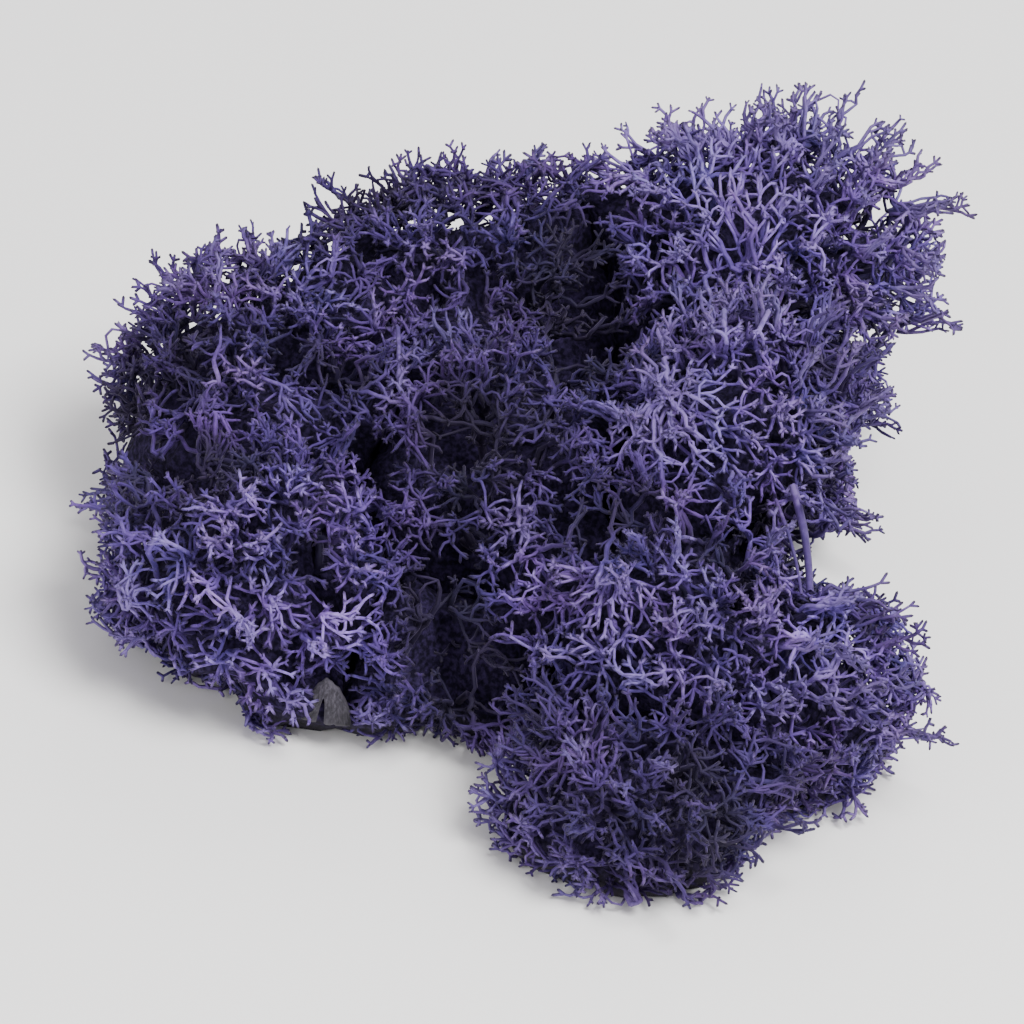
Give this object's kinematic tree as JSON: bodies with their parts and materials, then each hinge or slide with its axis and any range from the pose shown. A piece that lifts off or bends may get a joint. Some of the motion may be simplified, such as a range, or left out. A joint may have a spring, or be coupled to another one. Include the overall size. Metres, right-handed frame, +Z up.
{
  "type": "reindeer moss clump",
  "caption": "Clump of dyed reindeer moss, a low mound of tangled bushy heads of finely forked stalks on a flat base, with a flake of bark caught in it.",
  "frame": {"origin": "middle of the clump's bounding box, on the surface it rests on", "axes": "+X along the broad front to the right, +Y from the viewer to the back, +Z up"},
  "size_m": [0.1118, 0.1164, 0.0559],
  "materials": {
    "moss": "matt, dyed violet, springy preserved lichen",
    "bark": "matt grey bark"
  },
  "bodies": {
    "root": {"head_rear_left": "moss", "head_front_left": "moss", "head_rear_mid": "moss", "head_rear_right": "moss", "head_mid_right": "moss", "head_front_right": "moss", "head_side_right": "moss", "head_front_tip": "moss", "head_centre": "moss", "head_front_mid": "moss", "bark_flake": "bark"}
  },
  "joints": []
}
